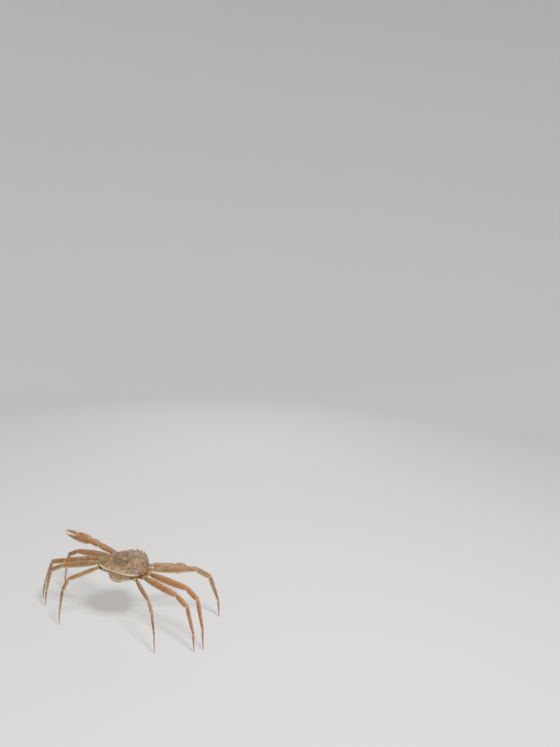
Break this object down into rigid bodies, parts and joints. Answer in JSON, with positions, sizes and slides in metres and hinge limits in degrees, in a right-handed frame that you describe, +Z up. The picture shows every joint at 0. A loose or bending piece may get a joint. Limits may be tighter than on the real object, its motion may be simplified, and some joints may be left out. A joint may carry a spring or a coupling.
{
  "type": "snow crab",
  "caption": "Still life-size snow crab standing on its leg tips, legs spread to the sides, one claw arm held out and the other folded in front of the mouth.",
  "frame": {"origin": "middle of the overall box, at floor level under the feet", "axes": "-Y towards the head, +X to the crab's own left, +Z up"},
  "size_m": [0.4886, 0.2542, 0.1687],
  "materials": {
    "back_shell": "granular shell with a faint wet sheen",
    "belly_shell": "smooth pale shell",
    "leg_shell": "finely granular shell, paler below",
    "foot_shell": "smooth horn-like shell",
    "claw_shell": "smooth shell with pale finger tips",
    "eye": "glossy dark eye",
    "feeler": "thin flexible feeler"
  },
  "bodies": {
    "root": {"abdomen": "belly_shell", "antenna_left": "feeler", "antenna_right": "feeler", "carapace": "back_shell", "claw_arm_left_carpus": "claw_shell", "claw_arm_left_finger": "claw_shell", "claw_arm_left_hand": "claw_shell", "claw_arm_left_merus": "claw_shell", "claw_arm_left_root": "leg_shell", "claw_arm_right_carpus": "claw_shell", "claw_arm_right_finger": "claw_shell", "claw_arm_right_hand": "claw_shell", "claw_arm_right_merus": "claw_shell", "claw_arm_right_root": "leg_shell", "eye_left": "eye", "eye_right": "eye", "leg_1_left_carpus": "leg_shell", "leg_1_left_dactylus": "foot_shell", "leg_1_left_merus": "leg_shell", "leg_1_left_propodus": "leg_shell", "leg_1_left_root": "leg_shell", "leg_1_right_carpus": "leg_shell", "leg_1_right_dactylus": "foot_shell", "leg_1_right_merus": "leg_shell", "leg_1_right_propodus": "leg_shell", "leg_1_right_root": "leg_shell", "leg_2_left_carpus": "leg_shell", "leg_2_left_dactylus": "foot_shell", "leg_2_left_merus": "leg_shell", "leg_2_left_propodus": "leg_shell", "leg_2_left_root": "leg_shell", "leg_2_right_carpus": "leg_shell", "leg_2_right_dactylus": "foot_shell", "leg_2_right_merus": "leg_shell", "leg_2_right_propodus": "leg_shell", "leg_2_right_root": "leg_shell", "leg_3_left_carpus": "leg_shell", "leg_3_left_dactylus": "foot_shell", "leg_3_left_merus": "leg_shell", "leg_3_left_propodus": "leg_shell", "leg_3_left_root": "leg_shell", "leg_3_right_carpus": "leg_shell", "leg_3_right_dactylus": "foot_shell", "leg_3_right_merus": "leg_shell", "leg_3_right_propodus": "leg_shell", "leg_3_right_root": "leg_shell", "leg_4_left_carpus": "leg_shell", "leg_4_left_dactylus": "foot_shell", "leg_4_left_merus": "leg_shell", "leg_4_left_propodus": "leg_shell", "leg_4_left_root": "leg_shell", "leg_4_right_carpus": "leg_shell", "leg_4_right_dactylus": "foot_shell", "leg_4_right_merus": "leg_shell", "leg_4_right_propodus": "leg_shell", "leg_4_right_root": "leg_shell", "mouthpart_left": "belly_shell", "mouthpart_right": "belly_shell", "thorax": "belly_shell"}
  },
  "joints": []
}
